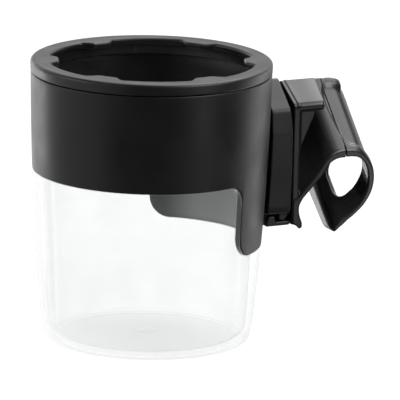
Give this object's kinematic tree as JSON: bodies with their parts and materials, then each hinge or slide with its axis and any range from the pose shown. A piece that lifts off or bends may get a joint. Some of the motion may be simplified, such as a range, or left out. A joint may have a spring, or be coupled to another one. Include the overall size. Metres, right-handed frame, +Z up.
{
  "type": "clip-on cup holder",
  "caption": "Tapered clear cup in a black collar with a padded grip ring, on a slide-off hook clip that snaps over an inclined round frame tube.",
  "frame": {"origin": "centre of the cup's flat base, on the cup's axis", "axes": "+Z up along the cup's axis, +X from the cup's axis out through the mount block towards the hook, +Y across the bracket to the higher end of the inclined channel"},
  "size_m": [0.1367, 0.0922, 0.1084],
  "materials": {
    "clear_plastic": "clear moulded plastic",
    "collar_plastic": "fine satin black",
    "ring_rubber": "soft-touch black",
    "block_plastic": "moulded black nylon",
    "clip_plastic": "semi-gloss black",
    "pad_rubber": "matt rubber",
    "steel": "zinc-plated"
  },
  "bodies": {
    "clip": {"clip_body": "clip_plastic", "slide_rail": "block_plastic", "rail_screw_low": "steel", "rail_screw_high": "steel", "saddle_pad": "pad_rubber", "crown_pad": "pad_rubber"},
    "cup": {"clear_cup": "clear_plastic", "upper_collar": "collar_plastic", "mount_block": "block_plastic", "block_screw_low_left": "steel", "block_screw_low_right": "steel", "block_screw_high_left": "steel", "block_screw_high_right": "steel"},
    "ring": {"grip_ring": "ring_rubber"},
    "jaw": {"hook_jaw": "clip_plastic"},
    "latch": {"latch_tongue": "block_plastic"}
  },
  "joints": [
    {"name": "cup_lift", "type": "slide", "parent": "clip", "child": "cup", "axis": [0, 0, 1], "range_m": [0, 0.046]},
    {"name": "ring_lift", "type": "slide", "parent": "cup", "child": "ring", "axis": [0, 0, 1], "range_m": [0, 0.02]},
    {"name": "jaw_open", "type": "hinge", "parent": "clip", "child": "jaw", "pos_m": [0.0782, -0.0125, 0.0692], "axis": [0, -0.7071, -0.7071], "range_deg": [0, 14], "stiffness_Nm_per_rad": 2},
    {"name": "latch_flex", "type": "hinge", "parent": "clip", "child": "latch", "pos_m": [0.0549, 0, 0.0419], "axis": [0, -1, 0], "range_deg": [0, 9], "stiffness_Nm_per_rad": 0.3}
  ]
}
